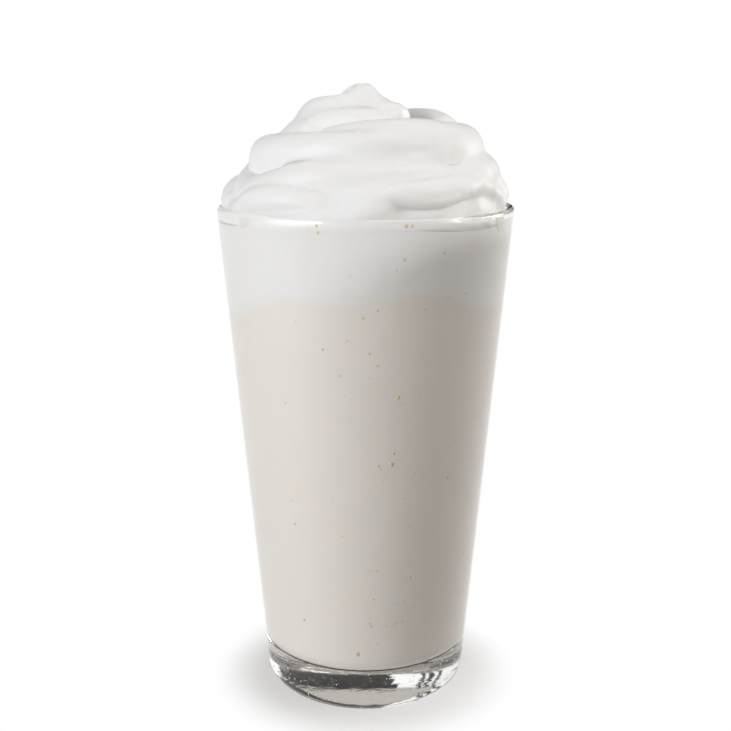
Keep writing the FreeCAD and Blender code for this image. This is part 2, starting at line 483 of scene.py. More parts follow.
class FrothGroup:
    """Small bubbles over a surface, the same way in the drink, the foam and the cream."""

    NAME = "froth bubbles"
    EDGE = 3.0

    @classmethod
    def tree(cls) -> bpy.types.NodeTree:
        """Build the group once.

        Returns:
            The group.
        """
        if cls.NAME in bpy.data.node_groups:
            return bpy.data.node_groups[cls.NAME]
        group = bpy.data.node_groups.new(cls.NAME, "ShaderNodeTree")
        for way, names in (("INPUT", ("Cells", "Share", "Width")), ("OUTPUT", ("Bubble", "Relief"))):
            for name in names:
                group.interface.new_socket(name=name, in_out=way, socket_type="NodeSocketFloat")
        bench = Bench(group)
        given = bench.add("NodeGroupInput").outputs
        cells = bench.add("ShaderNodeTexVoronoi", {"Vector": bench.place(), "Scale": given["Cells"]},
                          feature="F1", distance="EUCLIDEAN").outputs
        chance = bench.add("ShaderNodeSeparateColor", {"Color": cells["Color"]}).outputs
        kept = bench.maths("LESS_THAN", chance["Red"], given["Share"])
        size = bench.maths("MULTIPLY", given["Width"], chance["Green"])
        dome = bench.maths("SUBTRACT", 1.0, bench.maths("DIVIDE", cells["Distance"], size))
        domes = bench.maths("MULTIPLY", bench.maths("MAXIMUM", dome, 0.0), kept)
        bubble = bench.maths("MINIMUM", bench.maths("MULTIPLY", domes, cls.EDGE), 1.0)
        bench.add("NodeGroupOutput", {"Bubble": bubble, "Relief": domes})
        return group

    @classmethod
    def place(cls, bench: Bench, cells: float, share: float, width: float) -> bpy.types.Node:
        """Put the group in a material.

        Args:
            bench: The material's bench.
            cells: Bubbles to the metre.
            share: How many of the cells hold one.
            width: A bubble's radius, as a share of its cell.

        Returns:
            The group's node.
        """
        return bench.add("ShaderNodeGroup", {"Cells": cells, "Share": share, "Width": width},
                         node_tree=cls.tree())


def mottle(bench: Bench, scale: float, detail: float = 3.0) -> bpy.types.NodeSocket:
    """Add a soft unevenness on the piece's own coordinates.

    Args:
        bench: The material's bench.
        scale: Patches to the metre.
        detail: How fine it breaks up.

    Returns:
        A value about 0.5.
    """
    noise = bench.add("ShaderNodeTexNoise", {
        "Vector": bench.place(), "Scale": scale, "Detail": detail, "Roughness": 0.5})
    return noise.outputs["Fac"]


def relief(bench: Bench, height: bpy.types.NodeSocket, shader: bpy.types.Node, depth: float) -> None:
    """Bump a shader's surface.

    Args:
        bench: The material's bench.
        height: The relief, from 0 to 1.
        shader: The Principled shader.
        depth: The relief's depth in metres.
    """
    bump = bench.add("ShaderNodeBump", {"Strength": 1.0, "Distance": depth, "Height": height})
    bench.fill(shader, {"Normal": bump.outputs["Normal"]})


MILKY_DEPTH = {"Subsurface Weight": 0.2, "Subsurface Radius": (1.0, 0.8, 0.6),
               "Subsurface Scale": 1.0 * MM}


@dataclass(frozen=True)
class ClearGlass:
    """Clear soda glass that lets the lamps through to the drink."""

    tint: Colour = (0.985, 0.99, 0.988)
    bend: float = 1.5
    foot: float = 2 * MM
    patches: float = 260.0
    patch_detail: float = 4.0
    unevenness: float = 0.16 * MM

    def material(self) -> bpy.types.Material:
        """Make the glass material.

        Returns:
            The material.
        """
        material, bench, shader, output = started_material("clear glass")
        bench.fill(shader, {"Base Color": self.tint, "Roughness": 0.0, "IOR": self.bend,
                            "Transmission Weight": 1.0})
        self._pressed_foot(bench, shader)
        rays = bench.add("ShaderNodeLightPath").outputs
        open_to = bench.maths("MAXIMUM", rays["Is Shadow Ray"], rays["Is Diffuse Ray"])
        bench.blend(open_to, shader, bench.add("ShaderNodeBsdfTransparent"), output)
        return material

    def _pressed_foot(self, bench: Bench, shader: bpy.types.Node) -> None:
        """Make the underside uneven, as pressing leaves it.

        Args:
            bench: The material's bench.
            shader: The Principled shader.
        """
        height = bench.add("ShaderNodeSeparateXYZ", {0: bench.place()}).outputs["Z"]
        low = bench.ramp(height, (self.foot, 2 * self.foot), (1.0, 0.0))
        uneven = mottle(bench, self.patches, self.patch_detail)
        relief(bench, bench.maths("MULTIPLY", uneven, low), shader, self.unevenness)


@dataclass(frozen=True)
class CulturedMilk:
    """Opaque milky drink in two close shades, which turns to froth towards its surface."""

    colour: Colour = (0.850, 0.803, 0.748)
    shade: Colour = (0.838, 0.787, 0.729)
    froth: Colour = (0.870, 0.858, 0.838)
    patches: float = 60.0
    bubble_depth: float = 0.05 * MM

    def material(self) -> bpy.types.Material:
        """Make the drink's material.

        Returns:
            The material.
        """
        material, bench, shader, _ = started_material("cultured milk")
        body = bench.tint(mottle(bench, self.patches, 2.0), self.shade, self.colour)
        near = bench.add("ShaderNodeAttribute", attribute_name="froth").outputs["Fac"]
        bubbles = FrothGroup.place(bench, cells=700.0, share=0.10, width=0.35)
        relief(bench, bubbles.outputs["Relief"], shader, self.bubble_depth)
        bench.fill(shader, {"Base Color": bench.tint(near, body, self.froth), "Roughness": 0.45,
                            **MILKY_DEPTH})
        return material


@dataclass(frozen=True)
class WetFoam:
    """Fine wet froth with small pits where bubbles burst, each pit darkened by painted shade."""

    colour: Colour = (0.872, 0.862, 0.846)
    # Painted shade: the colour laid into the bubble pits, and how strongly it is laid in.
    pit_shade_colour: Colour = (0.64, 0.60, 0.53)
    pit_shade_strength: float = 0.6
    fine_share: float = 0.4
    depth: float = 0.12 * MM

    def material(self) -> bpy.types.Material:
        """Make the foam's material.

        Returns:
            The material.
        """
        material, bench, shader, _ = started_material("wet foam")
        pits = FrothGroup.place(bench, cells=480.0, share=0.07, width=0.34).outputs
        fine = FrothGroup.place(bench, cells=1500.0, share=0.30, width=0.45).outputs
        # The relief below really sinks the pits; their darker colour is painted shade inside them.
        painted_pit_shade = bench.maths("MULTIPLY", pits["Bubble"], self.pit_shade_strength)
        raised = bench.maths("MULTIPLY", fine["Relief"], self.fine_share)
        relief(bench, bench.maths("SUBTRACT", raised, pits["Relief"]), shader, self.depth)
        bench.fill(shader, {"Base Color": bench.tint(painted_pit_shade, self.colour, self.pit_shade_colour), "Roughness": 0.5,
                            **MILKY_DEPTH})
        return material


@dataclass(frozen=True)
class WhippedCream:
    """Satin whipped cream with a very fine grain."""

    colour: Colour = (0.950, 0.944, 0.936)
    warm: Colour = (0.943, 0.933, 0.915)
    patches: float = 90.0
    grains: float = 700.0
    grain_share: float = 0.5
    depth: float = 0.05 * MM

    def material(self) -> bpy.types.Material:
        """Make the cream's material.

        Returns:
            The material.
        """
        material, bench, shader, _ = started_material("whipped cream")
        fine = FrothGroup.place(bench, cells=1300.0, share=0.30, width=0.40).outputs
        pits = FrothGroup.place(bench, cells=420.0, share=0.05, width=0.22).outputs
        grain = bench.maths("MULTIPLY", mottle(bench, self.grains, 4.0), self.grain_share)
        raised = bench.maths("ADD", grain, fine["Relief"])
        relief(bench, bench.maths("SUBTRACT", raised, pits["Relief"]), shader, self.depth)
        bench.fill(shader, {
            "Base Color": bench.tint(mottle(bench, self.patches), self.warm, self.colour),
            "Roughness": 0.42, "Specular IOR Level": 0.35, "Subsurface Weight": 0.7,
            "Subsurface Radius": (1.0, 0.94, 0.88), "Subsurface Scale": 3.0 * MM})
        return material


@dataclass(frozen=True)
class Patchy:
    """A plain finish in soft patches of two close colours."""

    name: str
    colour: Colour
    shade: Colour
    patches: float
    roughness: float

    def material(self) -> bpy.types.Material:
        """Make the material.

        Returns:
            The material.
        """
        material, bench, shader, _ = started_material(self.name)
        bench.fill(shader, {"Base Color": bench.tint(mottle(bench, self.patches), self.shade, self.colour),
                            "Roughness": self.roughness})
        return material


TOASTED_FLECK = Patchy("toasted fleck", (0.82, 0.72, 0.50), (0.66, 0.49, 0.24), 150.0, 0.5)
PRESSED_CREAM = Patchy("pressed cream", (0.93, 0.925, 0.91), (0.90, 0.892, 0.872), 400.0, 0.3)
MELTED_CREAM = Patchy("melted cream", (0.87, 0.85, 0.77), (0.80, 0.77, 0.66), 400.0, 0.3)
# Air bubbles in the glass are drawn as opaque grains. Their white, greyer in random patches, is a painted
# glint.
TRAPPED_AIR_GLINT = Patchy("trapped air glint", (0.92, 0.93, 0.93), (0.55, 0.57, 0.57), 300.0, 0.2)


@dataclass(frozen=True)
class StudioFloor:
    """White table: its shadow shows near the glass, and it runs out to plain white. Near the foot it has a
    painted glow that lights the drink from below.
    """

    colour: Colour = (0.92, 0.92, 0.92)
    bounce: Colour = (0.44, 0.415, 0.38)
    # Strength of the painted glow under the foot, for the rays that light.
    foot_glow_share: float = 0.5
    near_share: float = 0.40
    near: float = 30 * MM
    far: float = 51 * MM

    def material(self) -> bpy.types.Material:
        """Make the table's material, with one glow for rays that look and a painted glow near the foot for
        rays that light.

        Returns:
            The material.
        """
        material, bench, shader, output = started_material("studio floor")
        seen = bench.seen()
        bench.fill(shader, {"Base Color": bench.tint(seen, self.bounce, self.colour), "Roughness": 0.9,
                            "Specular IOR Level": 0.0})
        away = bench.add("ShaderNodeVectorMath", {0: bench.place()}, operation="LENGTH").outputs["Value"]
        run = (self.near, self.far)
        shown = bench.maths("MULTIPLY", seen, bench.ramp(away, run, (self.near_share, 1.0), "SMOOTHSTEP"))
        # Painted glow: near the foot the table glows for the rays that light, though no lamp is there, and so
        # lights the drink's underside.
        lights = bench.maths("SUBTRACT", 1.0, seen)
        under = bench.maths("MULTIPLY", lights, bench.ramp(away, run, (self.foot_glow_share, 0.0), "SMOOTHSTEP"))
        glow = bench.add("ShaderNodeEmission", {"Color": WHITE, "Strength": 1.0})
        bench.blend(bench.maths("ADD", shown, under), shader, glow, output)
        return material


@dataclass(frozen=True)
class BlackFlag:
    """Black cloth on a studio flag."""

    colour: Colour = (0.012, 0.012, 0.013)

    def material(self) -> bpy.types.Material:
        """Make the flag's material.

        Returns:
            The material.
        """
        material, bench, shader, _ = started_material("black flag")
        bench.fill(shader, {"Base Color": self.colour, "Roughness": 1.0, "Specular IOR Level": 0.0})
        return material


# ---------------------------------------------------------------------------
# The tumbler
# ---------------------------------------------------------------------------


@dataclass
class Tumbler:
    """The tapered glass: round lip, thick floor and a hollowed underside."""

    height: float
    rim_radius: float = 44.5 * MM
    base_radius: float = 31.0 * MM
    rim_wall: float = 2.3 * MM
    base_wall: float = 3.0 * MM
    floor: float = 14.0 * MM
    floor_corner: float = 5.0 * MM
    floor_facets: int = 12
    heel: float = 6.0 * MM
    heel_facets: int = 14
    lip_round: float = 0.98
    lip_facets: int = 8
    ring: float = 4.0 * MM
    punt: float = 1.5 * MM
    punt_rings: int = 8
    sides: int = 192
    crease: float = 40.0
    bend_loop: float = 0.6 * MM
    lip_loops: tuple[float, ...] = (1.6 * MM, 2.6 * MM)
    wall_loops: tuple[float, ...] = (0.18, 0.3, 0.42, 0.54, 0.66, 0.78, 0.9)

    @property
    def mouth(self) -> float:
        """Inside radius at the lip."""
        return self.rim_radius - self.rim_wall

    @property
    def lip(self) -> float:
        """Radius of the rounded lip."""
        return self.lip_round * self.rim_wall / 2

    def inner(self, height: float) -> float:
        """Inside radius at a height."""
        foot = self.base_radius - self.base_wall
        return foot + (self.mouth - foot) * height / self.height

    def build(self) -> bpy.types.Object:
        """Model the glass from a cylinder.

        Returns:
            The finished glass.
        """
        glass = cylinder("tumbler", self.sides, self.base_radius, 0, self.height)
        with editing(glass):
            self._taper(glass)
            self._hollow(glass)
            self._foot(glass)
            self._round(glass)
            slice_at(glass, self._loops())
        face_outwards(glass)
        shade_smooth(glass, self.crease)
        return glass

    def dress(self, glass: bpy.types.Object) -> None:
        """Give the glass its finish and its place."""
        hand_over(glass, Slot.GLASS, ClearGlass(), "glass")

    def _taper(self, glass: bpy.types.Object) -> None:
        """Open the cylinder out to the rim.

        Args:
            glass: The cylinder in edit mode.
        """
        choose_points(glass, lambda place: place.z > self.height / 2)
        wide = self.rim_radius / self.base_radius
        bpy.ops.transform.resize(value=(wide, wide, 1), center_override=(0, 0, self.height))

    def _hollow(self, glass: bpy.types.Object) -> None:
        """Sink the inside down to the floor.

        Args:
            glass: The tapered glass in edit mode.
        """
        choose_cap(glass, self.height)
        bpy.ops.mesh.inset(thickness=self.rim_wall, depth=0)
        drop = self.floor - self.height
        bpy.ops.mesh.extrude_region_move(TRANSFORM_OT_translate={"value": (0, 0, drop)})
        narrow = self.inner(self.floor) / self.mouth
        bpy.ops.transform.resize(value=(narrow, narrow, 1), center_override=(0, 0, self.floor))

    def _foot(self, glass: bpy.types.Object) -> None:
        """Leave a flat ring to stand on and hollow the rest of the underside.

        Args:
            glass: The hollow glass in edit mode.
        """
        slope = math.atan2(self.height, self.rim_radius - self.base_radius)
        inside = self.base_radius - self.heel * math.tan(slope / 2) - self.ring
        choose_cap(glass, 0)
        bpy.ops.mesh.inset(thickness=self.base_radius - inside, depth=0)
        for step in range(1, self.punt_rings):
            outer = 1 - (step - 1) / self.punt_rings
            inner = 1 - step / self.punt_rings
            bpy.ops.mesh.inset(thickness=inside / self.punt_rings, depth=0)
            bpy.ops.transform.translate(value=(0, 0, self.punt * (outer ** 2 - inner ** 2)))

    def _round(self, glass: bpy.types.Object) -> None:
        """Round the heel, the lip and the corner of the floor.

        Args:
            glass: The hollow glass in edit mode.
        """
        outside = math.atan2(self.height, self.rim_radius - self.base_radius)
        inside = math.atan2(self.height, self.mouth - self.base_radius + self.base_wall)
        corner = self.floor_corner * math.tan(inside / 2)
        self._bevel(glass, 0, self.base_radius, self.heel * math.tan(outside / 2), self.heel_facets)
        self._bevel(glass, self.height, self.rim_radius, self.lip / math.tan(outside / 2), self.lip_facets)
        self._bevel(glass, self.height, self.mouth, self.lip * math.tan(inside / 2), self.lip_facets)
        self._bevel(glass, self.floor, self.inner(self.floor), corner, self.floor_facets)

    def _bevel(self, glass: bpy.types.Object, height: float, radius: float, width: float, steps: int) -> None:
        """Round one ring of edges.

        Args:
            glass: The glass in edit mode.
            height: The ring's height.
            radius: The ring's radius.
            width: How far the rounding reaches along each side.
            steps: Facets across it.
        """
        def on_ring(place: Vector) -> bool:
            """Tell if a point is on the ring."""
            return abs(place.z - height) < 10 * FINE and abs(place.xy.length - radius) < 50 * FINE

        choose_edges(glass, on_ring)
        bpy.ops.mesh.bevel(offset=width, offset_type="OFFSET", segments=steps, profile=0.5, affect="EDGES")

    def _loops(self) -> list[float]:
        """Heights of the loops that hold the wall's shading straight.

        Returns:
            The heights.
        """
        near_floor = [self.heel + self.bend_loop, self.floor + self.floor_corner + self.bend_loop]
        wall = [self.height * share for share in self.wall_loops]
        return near_floor + wall + [self.height - drop for drop in self.lip_loops]


# ---------------------------------------------------------------------------
# The drink and its foam
# ---------------------------------------------------------------------------


@dataclass(frozen=True)
class Surface:
    """The drink's uneven surface under the foam."""

    level: float
    radius: float
    front_lift: float = 3.5 * MM
    side_lift: float = 0.8 * MM
    saddle: float = 2.6 * MM
    ripple: float = 1.2 * MM
    ripple_count: int = 6
    ripple_turn: float = 24.0
    past_wall: float = 1.1

    def height(self, x: float, y: float) -> float:
        """Height of the surface above the table.

        Args:
            x: A place towards the right.
            y: The same place towards the back.

        Returns:
            The height.
        """
        heading, reach = heading_and_reach(x, y)
        share = min(reach / self.radius, self.past_wall)
        tilt = self.front_lift * math.cos(heading) + self.side_lift * math.sin(heading)
        droop = self.saddle * math.cos(2 * heading)
        wave = self.ripple * math.cos(self.ripple_count * (heading - math.radians(self.ripple_turn)))
        return self.level + share * tilt + share ** 2 * droop + share ** self.ripple_count * wave


@dataclass(frozen=True)
class Seam:
    """Where the cream meets the foam, level in the middle and wavy at the wall."""

    level: float
    radius: float
    swing: float = 1.2 * MM
    waves: int = 3
    lowest: float = -75.0
    past_wall: float = 1.1

    def height(self, x: float, y: float) -> float:
        """Height of the seam above the table.

        Args:
            x: A place towards the right.
            y: The same place towards the back.

        Returns:
            The height.
        """
        heading, reach = heading_and_reach(x, y)
        share = min(reach / self.radius, self.past_wall)
        turn = heading - math.radians(self.lowest)
        return self.level + share * self.swing * (1 - math.cos(self.waves * turn))


@dataclass
class Filling:
    """A layer that fills the tumbler between two surfaces and reaches just into its wall."""

    name: str
    tumbler: Tumbler
    bottom: Level
    top: Level
    slot: Slot
    finish: Finish
    node: str
    corner: float = 0.0
    corner_facets: int = 12
    loops: int = 28
    crowding: float = 1.6
    rings: int = 12
    sides: int = 192
    crease: float = 50.0
    into_wall: float = 0.15 * MM
    fade: float = 3.0 * MM

    def build(self) -> bpy.types.Object:
        """Model the layer from a cylinder that is then fitted to the glass.

        Returns:
            The finished layer, with its nearness to the upper surface kept as "froth".
        """
        low = self.bottom(0, 0)
        high = self.top(0, 0)
        radius = self.tumbler.inner(low)
        layer = cylinder(self.name, self.sides, radius, low, high)
        with editing(layer):
            for height in (low, high):
                choose_cap(layer, height)
                for _ in range(self.rings):
                    bpy.ops.mesh.inset(thickness=radius / (self.rings + 1), depth=0)
            if self.corner:
                choose_edges(layer, lambda place: abs(place.z - low) < FINE
                             and place.xy.length > radius - 10 * FINE)
                bpy.ops.mesh.bevel(offset=self.corner, offset_type="OFFSET", segments=self.corner_facets,
                                   affect="EDGES")
            steps = [(high - low) * (1 - (1 - step / self.loops) ** self.crowding)
                     for step in range(1, self.loops)]
            slice_at(layer, [low + step for step in steps if step > self.corner])
        face_outwards(layer)
        self._fit(layer, low, high, radius)
        shade_smooth(layer, self.crease)
        return layer

    def dress(self, layer: bpy.types.Object) -> None:
        """Give the layer its finish and its place."""
        hand_over(layer, self.slot, self.finish, self.node)

    def _fit(self, layer: bpy.types.Object, low: float, high: float, radius: float) -> None:
        """Press the layer out to the wall and up to its two surfaces.

        Args:
            layer: The layer's straight cylinder.
            low: Its lower end.
            high: Its upper end.
            radius: Its radius.
        """
        near = layer.data.attributes.new("froth", "FLOAT", "POINT")
        for point, mark in zip(layer.data.vertices, near.data):
            x, y, z = point.co
            share = (z - low) / (high - low)
            wide = self.tumbler.inner(z) / radius
            base = self.bottom(x * wide, y * wide)
            crest = self.top(x * wide, y * wide)
            height = base + share * (crest - base)
            out = (self.tumbler.inner(height) + self.into_wall) / radius
            point.co = (x * out, y * out, height)
            depth = min(1.0, (crest - height) / self.fade)
            mark.value = 1 - depth * depth * (3 - 2 * depth)


# ---------------------------------------------------------------------------
# The whipped cream
# ---------------------------------------------------------------------------


@dataclass(frozen=True)
class Fold:
    """A tapered roll of cream laid along part of a turn.

    Headings are degrees from the front towards the right. Reach, lift above the lip and girth are in
    millimetres at the roll's start, middle and end. Blend is how softly it runs into what it lies on.
    """

    name: str
    start: float
    end: float
    reach: Triple
    lift: Triple
    girth: Triple
    blend: float

    def at(self, values: Triple, share: Number) -> Number:
        """A value part of the way along the roll.

        Args:
            values: The value in millimetres at the start, the middle and the end.
            share: How far along, from 0 to 1.

        Returns:
            The value in metres.
        """
        first, middle, last = values
        fall = first * (1 - share) * (1 - 2 * share)
        crest = middle * 4 * share * (1 - share)
        return (fall + crest + last * share * (2 * share - 1)) * MM

    def distance(self, reach: np.ndarray, heading: np.ndarray, lift: np.ndarray) -> np.ndarray:
        """How far points lie from the roll's skin.

        Args:
            reach: Their distances from the axis.
            heading: Their headings in degrees.
            lift: Their heights above the lip.

        Returns:
            Distances in metres, negative inside.
        """
        turn = (heading - (self.start + self.end) / 2 + 180) % 360 - 180
        length = self.end - self.start
        share = np.clip(0.5 + turn / length, 0, 1)
        past = np.radians(np.maximum(np.abs(turn) - length / 2, 0))
        centre = self.at(self.reach, share)
        across = reach ** 2 + centre ** 2 - 2 * reach * centre * np.cos(past)
        rise = lift - self.at(self.lift, share)
        return np.sqrt(np.maximum(across, 0) + rise ** 2) - self.at(self.girth, share)


FOLDS = [
    # The lowest lap, round the lip.
    Fold("left end", -116, -84, (36.2, 37.3, 38.4), (2.2, 2.4, 0.3), (6.0, 6.3, 4.2), 1.0),
    Fold("left shoulder", -78, -14, (34.4, 33.5, 31.5), (1.8, 7.0, 10.2), (4.6, 5.2, 4.6), 1.4),
    Fold("left foot", -104, -6, (36.5, 36.8, 36.5), (-2.0, -2.0, -2.0), (5.2, 5.2, 5.0), 1.2),
    Fold("front left roll", -70, -16, (37.4, 37.8, 35.5), (-0.6, 3.8, 1.6), (3.6, 4.4, 3.6), 0.9),
    Fold("lap foot", -6, 6, (35.8, 36.4, 36.2), (0.4, 1.0, 1.6), (4.8, 5.0, 4.6), 3.0),
    Fold("under the lap", 10, 70, (33.8, 34.3, 34.6), (-0.2, 0.6, 0.6), (4.4, 4.2, 4.2), 1.6),
    Fold("upper lap", -38, 44, (31.5, 31.5, 31.0), (8.6, 9.6, 8.8), (4.4, 4.4, 4.2), 2.0),
    Fold("valley fill", -26, 2, (31.6, 32.2, 33.0), (3.6, 4.2, 3.8), (4.6, 4.6, 4.8), 3.0),
    Fold("front lap", -6, 60, (34.6, 36.6, 36.6), (3.4, 6.8, 7.2), (4.5, 3.2, 3.6), 2.0),
    Fold("lap lip", 15, 46, (37.6, 38.2, 37.6), (6.8, 5.8, 7.2), (2.3, 2.6, 2.4), 1.6),
    Fold("lap edge", 9, 55, (38.6, 39.8, 38.6), (6.6, 3.7, 9.0), (1.3, 1.2, 1.4), 1.8),
    Fold("right shoulder", 46, 112, (33.0, 33.4, 33.4), (7.8, 9.4, 8.0), (4.5, 6.2, 6.8), 2.0),
    Fold("right tuck", 66, 78, (39.0, 39.2, 39.2), (5.0, 3.0, -0.5), (2.4, 2.8, 2.6), 2.2),
    Fold("right fill", 56, 84, (35.0, 35.6, 35.6), (0.0, 0.4, 0.6), (4.8, 5.2, 5.2), 2.4),
    Fold("right end", 84, 125, (36.3, 36.3, 36.0), (3.2, 3.4, 3.2), (6.2, 6.3, 6.2), 1.8),
    Fold("back low right", 122, 176, (35.5, 36.0, 35.0), (2.6, 4.2, 2.0), (5.6, 5.6, 5.0), 1.6),
    Fold("back low left", 172, 242, (35.0, 36.0, 36.0), (2.4, 4.0, 2.6), (5.2, 5.8, 5.6), 1.6),
    Fold("back shoulder right", 108, 196, (32.6, 31.8, 31.0), (6.4, 9.4, 9.6), (5.6, 5.0, 4.6), 2.0),
    Fold("back shoulder left", 188, 284, (31.0, 32.0, 34.0), (9.8, 9.0, 4.4), (4.6, 5.2, 5.0), 2.0),
    # The middle lap.
    Fold("middle front", -95, 60, (28.0, 26.2, 25.0), (13.6, 17.6, 17.6), (6.6, 4.7, 5.6), 3.2),
    Fold("crease fill", -84, 94, (29.2, 28.2, 29.0), (12.4, 13.8, 13.4), (2.4, 2.3, 3.0), 2.4),
    Fold("middle upper", -30, 80, (20.5, 22.5, 27.3), (20.0, 20.8, 16.4), (3.2, 5.0, 6.8), 2.2),
    Fold("middle left", -150, -84, (19.0, 22.8, 27.8), (16.5, 15.2, 13.4), (5.0, 5.6, 6.6), 1.6),
    Fold("middle right", 46, 140, (26.6, 27.6, 22.5), (16.4, 17.0, 19.2), (5.4, 6.6, 5.8), 3.2),
    Fold("middle back", 132, 218, (24.0, 25.0, 22.0), (16.4, 16.2, 16.4), (6.4, 5.8, 5.4), 2.0),
    # The top turns and the tip.
    Fold("left slope", -128, -60, (17.0, 20.2, 19.0), (20.4, 19.8, 20.4), (4.6, 4.5, 4.0), 3.0),
    Fold("top low", -102, 20, (17.0, 13.4, 9.4), (21.6, 24.4, 25.6), (4.2, 3.8, 2.4), 4.0),
    Fold("top high", -112, -40, (15.6, 13.0, 6.0), (25.4, 27.0, 28.8), (4.8, 4.4, 4.0), 3.6),
    Fold("top right", 12, 100, (5.2, 9.0, 9.6), (26.4, 26.6, 25.2), (2.8, 3.2, 3.3), 2.5),
    Fold("right crown", 96, 150, (23.0, 20.2, 17.5), (21.8, 24.0, 23.2), (4.6, 4.2, 3.8), 1.6),
    Fold("back upper", 146, 250, (17.0, 16.0, 15.0), (21.0, 22.2, 21.6), (4.4, 4.4, 4.4), 1.6),
    Fold("back top", 110, 240, (9.6, 9.0, 9.6), (24.8, 26.0, 25.4), (3.6, 4.0, 4.0), 1.6),
    Fold("tip foot", 20, 100, (3.0, 3.6, 4.0), (28.0, 28.2, 27.4), (3.2, 3.2, 3.2), 5.0),
    Fold("tip", -110, -60, (3.5, 2.6, 1.2), (26.0, 29.4, 32.1), (6.4, 5.2, 3.2), 6.0),
]


